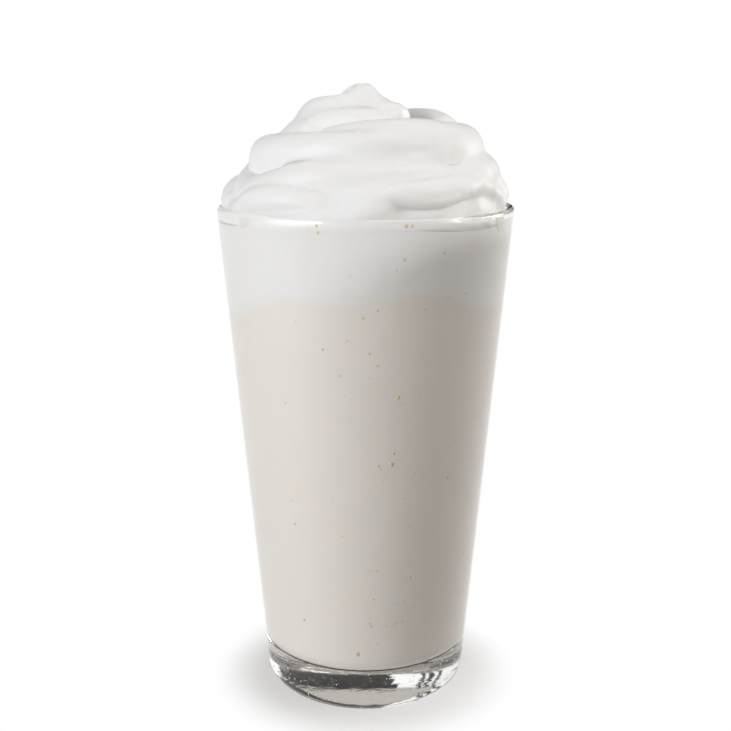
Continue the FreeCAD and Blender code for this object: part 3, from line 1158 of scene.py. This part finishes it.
@dataclass
class Swirl:
    """The piped cream: a plain dome with soft folds worked into it and crisp ones laid on."""

    tumbler: Tumbler
    seam: Seam
    tip: float
    dome_reach: float = 33.5 * MM
    dome_height: float = 26.5 * MM
    dome_lift: float = -1.0 * MM
    dome_share: float = 0.8
    plug_depth: float = 2.0 * MM
    plug_past: float = 0.5 * MM
    plug_sides: int = 128
    sides: int = 24
    turn_step: float = 4.0
    fewest_steps: int = 8
    grain: float = 0.48 * MM
    rub: float = 0.5
    first_rub: int = 4
    last_rub: int = 1
    eases: int = 3
    ease_below_lip: float = 1.0 * MM
    longest_ease: float = 1.0 * MM
    least_slope: float = 0.25
    probe: float = 0.02 * MM
    lumps: tuple[tuple[float, float], ...] = ((7 * MM, 0.5 * MM), (2.2 * MM, 0.12 * MM))
    into_wall: float = 0.15 * MM
    off_lip: float = 0.06 * MM
    off_lip_run: float = 0.8 * MM
    wave_below_lip: float = 0.4 * MM
    overlap: float = 0.1 * MM

    def build(self) -> bpy.types.Object:
        """Pipe the folds, run them together and trim the whole to the glass.

        Returns:
            The finished cream.
        """
        rolls = [part for fold in FOLDS for part in self._roll(fold)]
        cream = merged("whipped_cream_swirl", [self._dome(), self._plug(), *rolls])
        finish_with(cream, "REMESH", mode="VOXEL", voxel_size=self.grain, adaptivity=0.0)
        finish_with(cream, "SMOOTH", factor=self.rub, iterations=self.first_rub)
        self._ease(cream)
        finish_with(cream, "SMOOTH", factor=self.rub, iterations=self.last_rub)
        self._roughen(cream)
        self._trim(cream)
        self._press(cream)
        shade_smooth(cream)
        return cream

    def dress(self, cream: bpy.types.Object) -> None:
        """Give the cream its finish and its place."""
        hand_over(cream, Slot.CREAM, WhippedCream(), "whipped_cream")

    def _distance(self, points: np.ndarray) -> np.ndarray:
        """How far points lie from the cream's skin, with the folds run softly together.

        Args:
            points: The points, one to a row.

        Returns:
            Distances in metres, negative inside.
        """
        reach = np.hypot(points[:, 0], points[:, 1])
        heading = np.degrees(np.arctan2(points[:, 0], -points[:, 1]))
        lift = points[:, 2] - self.tumbler.height
        dome = np.hypot(reach / self.dome_reach, (lift - self.dome_lift) / self.dome_height)
        nearest = (dome - 1) * self.dome_height * self.dome_share
        for fold in FOLDS:
            other = fold.distance(reach, heading, lift)
            blend = fold.blend * MM
            overlap = np.maximum(blend - np.abs(nearest - other), 0)
            nearest = np.minimum(nearest, other) - overlap ** 2 / (4 * blend)
        return nearest

    def _ease(self, cream: bpy.types.Object) -> None:
        """Let each fold run into the next as softly as its blend says.

        Args:
            cream: The cream.
        """
        points = np.array([point.co for point in cream.data.vertices])
        above = points[:, 2] > self.tumbler.height - self.ease_below_lip
        for _ in range(self.eases):
            loose = points[above]
            here = self._distance(loose)
            slope = np.empty_like(loose)
            for axis in range(3):
                step = np.zeros(3)
                step[axis] = self.probe
                slope[:, axis] = (self._distance(loose + step) - here) / self.probe
            steep = np.maximum((slope ** 2).sum(axis=1), self.least_slope)
            move = np.clip(here, -self.longest_ease, self.longest_ease)
            points[above] = loose - slope * (move / steep)[:, None]
        cream.data.vertices.foreach_set("co", points.ravel())
        cream.data.update()

    def _dome(self) -> bpy.types.Object:
        """Model the plain mass of cream under the folds.

        Returns:
            The dome, cut level at the seam.
        """
        dome = primitive("dome", bpy.ops.mesh.primitive_uv_sphere_add,
                         scale=(self.dome_reach, self.dome_reach, self.dome_height),
                         segments=96, ring_count=48, radius=1,
                         location=(0, 0, self.tumbler.height + self.dome_lift))
        with editing(dome):
            slice_at(dome, [self.seam.level], use_fill=True, clear_inner=True)
        return dome

    def _plug(self) -> bpy.types.Object:
        """The cream that fills the mouth of the glass above the foam."""
        return cylinder("plug", self.plug_sides, self.tumbler.mouth + self.plug_past,
                        self.seam.level - self.plug_depth, self.tumbler.height - self.plug_depth)

    def _spot(self, fold: Fold, share: float) -> Vector:
        """The middle of a roll part of the way along it.

        Args:
            fold: The roll's fold.
            share: How far along, from 0 to 1.

        Returns:
            The place.
        """
        heading = math.radians(fold.start + (fold.end - fold.start) * share)
        height = self.tumbler.height + fold.at(fold.lift, share)
        return place_round(heading, fold.at(fold.reach, share), height)

    def _roll(self, fold: Fold) -> list[bpy.types.Object]:
        """Pipe one fold: a ring spun along its turn, then fattened and lifted station by station.

        Args:
            fold: The fold.

        Returns:
            Its tapered roll and its two round ends.
        """
        sweep = math.radians(fold.end - fold.start)
        first = math.radians(fold.start)
        steps = max(self.fewest_steps, round((fold.end - fold.start) / self.turn_step))
        reach = fold.at(fold.reach, 0.5)
        girth = fold.at(fold.girth, 0.5)
        roll = primitive("roll", bpy.ops.mesh.primitive_circle_add, vertices=self.sides, radius=girth,
                         fill_type="NOTHING", location=place_round(first, reach, self.tumbler.height),
                         rotation=(math.pi / 2, 0, first + math.pi / 2))
        with editing(roll):
            bpy.ops.mesh.select_all(action="SELECT")
            bpy.ops.mesh.spin(steps=steps, angle=-sweep, center=(0, 0, 0), axis=(0, 0, 1))
            bmesh.from_edit_mesh(roll.data).verts.index_update()
            rings = [range(step * self.sides, (step + 1) * self.sides) for step in range(steps + 1)]
            for step, ring in enumerate(rings):
                share = step / steps
                here = place_round(first + sweep * share, reach, self.tumbler.height)
                grow = fold.at(fold.girth, share) / girth
                choose_listed(roll, ring)
                bpy.ops.transform.resize(value=(grow, grow, grow), center_override=here)
                bpy.ops.transform.translate(value=self._spot(fold, share) - here)
            for ring in (rings[0], rings[-1]):
                choose_listed(roll, ring)
                bpy.ops.mesh.edge_face_add()
        ends = [primitive("knob", bpy.ops.mesh.primitive_uv_sphere_add, segments=self.sides,
                          ring_count=self.sides // 2, radius=fold.at(fold.girth, share),
                          location=self._spot(fold, share)) for share in (0, 1)]
        return [roll, *ends]

    def _roughen(self, cream: bpy.types.Object) -> None:
        """Give the skin the slight unevenness of piped cream.

        Args:
            cream: The cream.
        """
        for size, depth in self.lumps:
            clouds = bpy.data.textures.new("uneven cream", "CLOUDS")
            clouds.noise_scale = size
            clouds.noise_depth = 2
            finish_with(cream, "DISPLACE", texture=clouds, texture_coords="LOCAL",
                        strength=depth, mid_level=0.5)

    def _trim(self, cream: bpy.types.Object) -> None:
        """Cut the cream level where it lies on the foam.

        Args:
            cream: The cream.
        """
        with editing(cream):
            slice_at(cream, [self.seam.level], clear_inner=True)
            choose_edges(cream, lambda place: abs(place.z - self.seam.level) < FINE)
            bpy.ops.mesh.edge_face_add()
            choose_cap(cream, self.seam.level)
            bpy.ops.mesh.poke()

    def _press(self, cream: bpy.types.Object) -> None:
        """Press the cream just into the wall, and keep it off the rounded lip above.

        Args:
            cream: The cream.
        """
        lip_height = self.tumbler.height - self.tumbler.lip
        lip_reach = self.tumbler.mouth + self.tumbler.lip
        clear = self.tumbler.lip + self.off_lip
        wave_top = lip_height - self.wave_below_lip
        for point in cream.data.vertices:
            x, y, z = point.co
            fade = max(0.0, (wave_top - z) / (wave_top - self.seam.level))
            z += fade * (self.seam.height(x, y) - self.seam.level - self.overlap)
            reach = math.hypot(x, y)
            out = reach
            if z < lip_height:
                near = max(0.0, 1 - (lip_height - z) / self.off_lip_run)
                limit = self.tumbler.inner(z) + self.into_wall - near * (self.into_wall + self.off_lip)
                out = min(reach, limit)
            elif math.hypot(reach - lip_reach, z - lip_height) < clear:
                if reach < lip_reach:
                    out = lip_reach - math.sqrt(clear ** 2 - (z - lip_height) ** 2)
                else:
                    z = lip_height + math.sqrt(clear ** 2 - (reach - lip_reach) ** 2)
            scale = out / reach if reach > 0 else 1
            point.co = (x * scale, y * scale, min(z, self.tip))


@dataclass
class Smear:
    """Cream pressed against the inside of the glass, just under the lip, in one thin ring.

    A wave is its count round the glass, its share of the swing and its turn in radians.
    """

    tumbler: Tumbler
    low: float = 148.2 * MM
    high: float = 151.5 * MM
    swing: float = 0.6 * MM
    right_drop: float = 2.6 * MM
    right_end: float = 82.0
    left_end: float = -88.0
    low_turn: float = 0.9
    low_wave: float = 0.25
    high_wave: float = 0.08
    waves: tuple[Triple, ...] = ((3, 1.0, 0.6), (7, 0.6, 2.1), (13, 0.3, 0.0))
    thickness: float = 0.7 * MM
    into_wall: float = 0.2 * MM

    def build(self) -> bpy.types.Object:
        """Model the ring from a torus pressed flat against the wall.

        Returns:
            The finished ring.
        """
        ring = primitive("cream_smear", bpy.ops.mesh.primitive_torus_add, major_segments=288,
                         minor_segments=20, major_radius=2, minor_radius=1, location=(0, 0, 0))
        for point in ring.data.vertices:
            heading, reach = heading_and_reach(point.co.x, point.co.y)
            low, high = self._edges(heading)
            height = (low + high) / 2 + point.co.z * (high - low) / 2
            # The torus reaches from 1 to 3 out from its axis.
            inwards = (3 - reach) * self.thickness / 2
            point.co = place_round(heading, self.tumbler.inner(height) + self.into_wall - inwards, height)
        face_outwards(ring)
        shade_smooth(ring)
        return ring

    def dress(self, ring: bpy.types.Object) -> None:
        """Give the ring its finish and its place."""
        hand_over(ring, Slot.CREAM, PRESSED_CREAM)

    def _edges(self, heading: float) -> tuple[float, float]:
        """Find the ring's wavy edges: the lower sags at the front left, the upper at both sides.

        Args:
            heading: Where round the glass, in radians.

        Returns:
            The heights of the lower and the upper edge.
        """
        wave = sum(share * math.sin(count * heading + turn) for count, share, turn in self.waves)
        low = self.low + self.swing * (self.low_wave * wave - math.cos(heading + self.low_turn))
        right = max(math.cos(heading - math.radians(self.right_end)), 0.0)
        left = max(math.cos(heading - math.radians(self.left_end)), 0.0)
        high = self.high - self.right_drop * right ** 4 + self.swing * (self.high_wave * wave - left ** 8)
        return low, max(high, low + self.thickness)


@dataclass
class Drip:
    """A little melted cream that hangs inside the rim in a point."""

    tumbler: Tumbler
    heading: float = 61.0
    top: float = 150.3 * MM
    width: float = 3.0 * MM
    drop: float = 4.6 * MM
    thickness: float = 0.6 * MM
    into_wall: float = 0.35 * MM
    rings: int = 12
    sharpness: float = 0.6

    def build(self) -> bpy.types.Object:
        """Model the drip from a sphere drawn down to a point.

        Returns:
            The finished drip.
        """
        drip = primitive("cream_drip", bpy.ops.mesh.primitive_uv_sphere_add, segments=4 * self.rings,
                         ring_count=2 * self.rings, radius=1, location=(0, 0, 0))
        with editing(drip):
            for ring in range(1, self.rings):
                depth = -math.sin(math.pi / 2 * ring / self.rings)
                narrow = (1 + depth) ** self.sharpness
                choose_points(drip, lambda place: abs(place.z - depth) < 0.01)
                bpy.ops.transform.resize(value=(narrow, 1, 1), center_override=(0, 0, depth))
        for point in drip.data.vertices:
            across, out, up = point.co
            height = self.top + up * (self.drop if up < 0 else self.thickness)
            turn = math.radians(self.heading) + across * self.width / self.tumbler.mouth
            reach = self.tumbler.inner(height) + self.into_wall - (1 - out) * self.thickness / 2
            point.co = place_round(turn, reach, height)
        face_outwards(drip)
        shade_smooth(drip)
        return drip

    def dress(self, drip: bpy.types.Object) -> None:
        """Give the drip its finish and its place."""
        hand_over(drip, Slot.CREAM, MELTED_CREAM)


# ---------------------------------------------------------------------------
# Flecks in the drink and seeds in the glass
# ---------------------------------------------------------------------------


@dataclass(frozen=True)
class Spot:
    """One large grain at a chosen place: heading in degrees, then height and half width in millimetres."""

    heading: float
    height: float
    size: float


@dataclass
class Specks:
    """Many small grains scattered round the glass and joined into one piece."""

    name: str
    slot: Slot
    finish: Finish
    count: int
    seed: int
    smallest: float
    largest: float
    thinness: float
    scatter: Callable[[random.Random, int], Triple]
    spots: tuple[tuple[Spot, float], ...] = ()
    rarity: int = 3
    stretch: tuple[float, float] = (0.8, 1.3)
    spot_stretch: float = 1.1

    def build(self) -> bpy.types.Object:
        """Model one grain and scatter copies of it.

        Returns:
            The joined grains.
        """
        draw = random.Random(self.seed)
        pattern = self._grain()
        copies = []
        for number in range(self.count):
            heading, reach, height = self.scatter(draw, number)
            size = self.smallest + (self.largest - self.smallest) * draw.random() ** self.rarity
            copies.append(self._lay(pattern, heading, reach, height, size, draw.uniform(*self.stretch)))
        for spot, reach in self.spots:
            copies.append(self._lay(pattern, spot.heading, reach, spot.height * MM, spot.size * MM,
                                    self.spot_stretch))
        bpy.data.objects.remove(pattern)
        grains = merged(self.name, copies)
        settle_in_place(grains)
        shade_smooth(grains)
        return grains

    def dress(self, grains: bpy.types.Object) -> None:
        """Give the grains their finish and their place."""
        hand_over(grains, self.slot, self.finish)

    def _grain(self) -> bpy.types.Object:
        """Model one uneven grain of unit radius.

        Returns:
            The grain.
        """
        grain = primitive("grain", bpy.ops.mesh.primitive_ico_sphere_add, subdivisions=2, radius=1,
                          location=(0, 0, 0))
        with editing(grain):
            choose_points(grain, lambda place: place.z > 0.5)
            bpy.ops.transform.resize(value=(0.8, 1.1, 0.7), center_override=(0, 0, 0.5))
            choose_points(grain, lambda place: place.x < -0.4)
            bpy.ops.transform.translate(value=(0.15, 0, 0.1))
        return grain

    def _lay(self, pattern: bpy.types.Object, heading: float, reach: float, height: float, size: float,
             stretch: float) -> bpy.types.Object:
        """Lay one copy flat against a wall that faces its heading.

        Args:
            pattern: The grain to copy.
            heading: Where round the glass, in degrees.
            reach: Its distance from the axis.
            height: Its height above the table.
            size: Its half width.
            stretch: How much taller it is than wide.

        Returns:
            The copy.
        """
        copy = pattern.copy()
        copy.data = pattern.data.copy()
        bpy.context.scene.collection.objects.link(copy)
        turn = math.radians(heading)
        copy.location = place_round(turn, reach, height)
        copy.rotation_euler = (0, 0, turn)
        copy.scale = (size, size * self.thinness, size * stretch)
        return copy


LARGE_FLECKS = [
    Spot(-17.8, 150.2, 0.42), Spot(-17.4, 148.4, 0.50), Spot(14.5, 150.3, 0.55), Spot(16.8, 150.2, 0.45),
    Spot(13.5, 102.0, 0.62), Spot(11.5, 82.0, 0.72), Spot(-4.5, 20.5, 0.70), Spot(2.8, 30.0, 0.50),
]


def golden_flecks(tumbler: Tumbler, low: float, high: float) -> Specks:
    """Golden flecks that have drifted against the wall, about half of them in a streak at the front.

    Args:
        tumbler: The glass.
        low: The lowest fleck's height.
        high: The highest fleck's height.

    Returns:
        The flecks, ready to build.
    """
    in_streak = 85
    streak_heading = 11.0
    streak_spread = 13.0
    proud = 0.16 * MM

    def drift(draw: random.Random, number: int) -> Triple:
        """Draw the place of one fleck.

        Args:
            draw: The source of random numbers.
            number: The fleck's number; the first ones lie in the streak.

        Returns:
            Its heading in degrees, its reach and its height.
        """
        heading = draw.gauss(streak_heading, streak_spread) if number < in_streak else draw.uniform(-180, 180)
        height = low + (high - low) * draw.random()
        return heading, tumbler.inner(height) + proud, height

    spots = tuple((spot, tumbler.inner(spot.height * MM) + proud) for spot in LARGE_FLECKS)
    return Specks("golden_flecks", Slot.DRINK, TOASTED_FLECK, count=165, seed=41, smallest=0.09 * MM,
                  largest=0.50 * MM, thinness=0.35, scatter=drift, spots=spots)


def glass_seeds(tumbler: Tumbler) -> Specks:
    """Tiny bubbles caught in the thick foot of the glass, drawn as opaque grains with a painted glint.

    Args:
        tumbler: The glass.

    Returns:
        The bubbles, ready to build.
    """
    from_edge = 3.5 * MM
    lowest = 2.2 * MM
    below_floor = 1.2 * MM
    bare_middle = 0.3

    def caught(draw: random.Random, _: int) -> Triple:
        """Draw the heading in degrees, the reach and the height of one bubble."""
        reach = (tumbler.base_radius - from_edge) * math.sqrt(draw.uniform(bare_middle, 1))
        return draw.uniform(-180, 180), reach, draw.uniform(lowest, tumbler.floor - below_floor)

    return Specks("glass_seeds", Slot.GLASS, TRAPPED_AIR_GLINT, count=420, seed=17, smallest=0.08 * MM,
                  largest=0.24 * MM, thinness=1.0, scatter=caught)


# ---------------------------------------------------------------------------
# The studio
# ---------------------------------------------------------------------------


@dataclass(frozen=True)
class Softbox:
    """A square lamp aimed at the glass: heading and rise in degrees, distance and size in metres."""

    name: str
    heading: float
    rise: float
    distance: float
    size: float
    level: float
    colour: Colour

    def hang(self, target: Vector) -> None:
        """Add the lamp.

        Args:
            target: What it is aimed at.
        """
        away = outwards(self.heading, self.rise)
        bpy.ops.object.light_add(type="AREA", location=target + away * self.distance,
                                 rotation=away.to_track_quat("Z", "Y").to_euler())
        lamp = bpy.context.active_object
        lamp.name = self.name
        lamp.data.shape = "SQUARE"
        lamp.data.size = self.size
        lamp.data.energy = self.level * math.pi ** 2 * self.distance ** 2
        lamp.data.color = self.colour
        lamp.visible_camera = False


@dataclass(frozen=True)
class Flag:
    """A black card round the glass: it shows only in the glass, or it only shades a lamp.

    Heading and rise are in degrees and the rest in metres, from the foot of the glass.
    """

    name: str
    heading: float
    rise: float
    distance: float
    width: float
    height: float
    shades: bool = False

    def stand(self, cloth: bpy.types.Material) -> None:
        """Add the card.

        Args:
            cloth: Its black cloth.
        """
        away = outwards(self.heading, self.rise)
        card = primitive(self.name, bpy.ops.mesh.primitive_plane_add, scale=(self.width, self.height, 1),
                         size=1, location=away * self.distance,
                         rotation=away.to_track_quat("Z", "Y").to_euler())
        card.data.materials.append(cloth)
        card.visible_camera = False
        card.visible_diffuse = False
        card.visible_shadow = self.shades
        card.visible_glossy = not self.shades
        card.visible_transmission = not self.shades


LAMPS = [
    Softbox("key_softbox", -50, 9, 1.3, 0.8, 0.87, (0.95, 0.972, 1.0)),
    Softbox("right_strip", 111, 12, 1.1, 0.5, 0.34, (1.0, 0.99, 0.99)),
    Softbox("top_softbox", 92, 68, 1.2, 0.9, 0.34, (1.0, 0.99, 0.98)),
    Softbox("cream_softbox", 62, 25, 1.2, 0.06, 0.30, (1.0, 0.99, 0.99)),
]

FLAGS = [
    Flag("back_flag", 160, 26, 0.7, 0.70, 0.44),
    Flag("back_strip_near", 203, 28, 0.7, 0.03, 0.34),
    Flag("back_strip_middle", 208, 28, 0.7, 0.04, 0.34),
    Flag("back_strip_far", 215, 28, 0.7, 0.04, 0.30),
    Flag("cream_softbox_flag", 62, 27.6, 0.25, 0.13, 0.202, shades=True),
    Flag("left_flag", 268, 4, 0.7, 0.40, 0.30),
    Flag("right_flag", 92, 4, 0.7, 0.40, 0.30),
]


@dataclass
class Studio:
    """White table and room, soft lamps and the camera."""

    middle: Vector
    room_light: float = 0.092
    room_tint: Colour = (1.0, 0.86, 0.68)
    camera_back: float = 349.2 * MM
    camera_rise: float = 184.8 * MM
    camera_pitch: float = 13.3
    focal: float = 1156.0
    frame_width: float = 731.0
    sensor: float = 36.0
    table: float = 8.0
    table_gap: float = 0.1 * MM

    def build(self) -> None:
        """Set the table, the room, the lamps, the flags and the camera."""
        self._table()
        self._room()
        for lamp in LAMPS:
            lamp.hang(self.middle)
        cloth = BlackFlag().material()
        for flag in FLAGS:
            flag.stand(cloth)
        self._camera()

    def _table(self) -> None:
        """Lay the white table just under the glass."""
        table = primitive("studio_floor", bpy.ops.mesh.primitive_plane_add, size=self.table,
                          location=(0, 0, -self.table_gap))
        table.data.materials.append(StudioFloor().material())

    def _room(self) -> None:
        """Make the room white to look at and dim as a light."""
        world = bpy.data.worlds.new("white room")
        world.use_nodes = True
        bench = Bench(world.node_tree)
        dim = bench.add("ShaderNodeBackground", {"Color": self.room_tint, "Strength": self.room_light})
        white = bench.add("ShaderNodeBackground", {"Color": WHITE, "Strength": 1.0})
        bench.blend(bench.seen(), dim, white, bench.add("ShaderNodeOutputWorld"))
        bpy.context.scene.world = world

    def _camera(self) -> None:
        """Set up the camera a little above the rim, looking slightly down."""
        bpy.ops.object.camera_add(
            location=(0, -self.camera_back, self.camera_rise),
            rotation=(math.radians(90 - self.camera_pitch), 0, 0))
        camera = bpy.context.active_object
        camera.name = "studio_camera"
        camera.data.sensor_width = self.sensor
        camera.data.lens = self.sensor * self.focal / self.frame_width
        bpy.context.scene.camera = camera
        bpy.context.scene.view_settings.view_transform = "Standard"


# ---------------------------------------------------------------------------
# Assembly
# ---------------------------------------------------------------------------


@dataclass(frozen=True)
class Serving:
    """The whole drink: the glass, its layers from the floor up, the cream and the small things."""

    floor: float
    seam_level: float
    lip: float
    tip: float
    level: float = 126 * MM
    into_floor: float = 0.1 * MM
    into_foam: float = 0.05 * MM
    drink_corner: float = 4.0 * MM
    foam_loops: int = 12
    flecks_from: float = 7.0 * MM
    flecks_past: float = 4.0 * MM

    def sub_assemblies(self) -> list[SubAssembly]:
        """List what the drink is made of.

        Returns:
            The sub-assemblies, in the order they are built.
        """
        tumbler = Tumbler(height=self.lip)
        surface = Surface(level=self.level, radius=tumbler.inner(self.level))
        seam = Seam(level=self.seam_level, radius=tumbler.inner(self.seam_level))
        drink = Filling(
            "ayran_drink", tumbler, lambda x, y: self.floor - self.into_floor,
            lambda x, y: surface.height(x, y) + self.into_foam, Slot.DRINK, CulturedMilk(), "drink",
            corner=self.drink_corner)
        foam = Filling("ayran_foam", tumbler, surface.height, seam.height, Slot.FOAM, WetFoam(), "foam",
                       loops=self.foam_loops)
        flecks = golden_flecks(tumbler, self.floor + self.flecks_from, self.level + self.flecks_past)
        return [tumbler, drink, foam, Swirl(tumbler, seam, self.tip), Smear(tumbler), Drip(tumbler),
                flecks, glass_seeds(tumbler)]


def main() -> None:
    """Build the glass, what is in it and the studio round it."""
    logging.basicConfig(level=logging.INFO, format="%(name)s: %(message)s")
    cream_low, cream_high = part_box("whipped_cream")
    drink_low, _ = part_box("drink")
    _, glass_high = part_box("glass")
    serving = Serving(floor=drink_low.z, seam_level=cream_low.z, lip=glass_high.z, tip=cream_high.z)
    for part in serving.sub_assemblies():
        piece = part.build()
        part.dress(piece)
        triangles = sum(len(face.vertices) - 2 for face in piece.data.polygons)
        log.info("%s: %d triangles", piece.name, triangles)
    Studio(middle=Vector((0, 0, (packed_low.z + packed_high.z) / 2))).build()


if __name__ == "__main__":
    main()
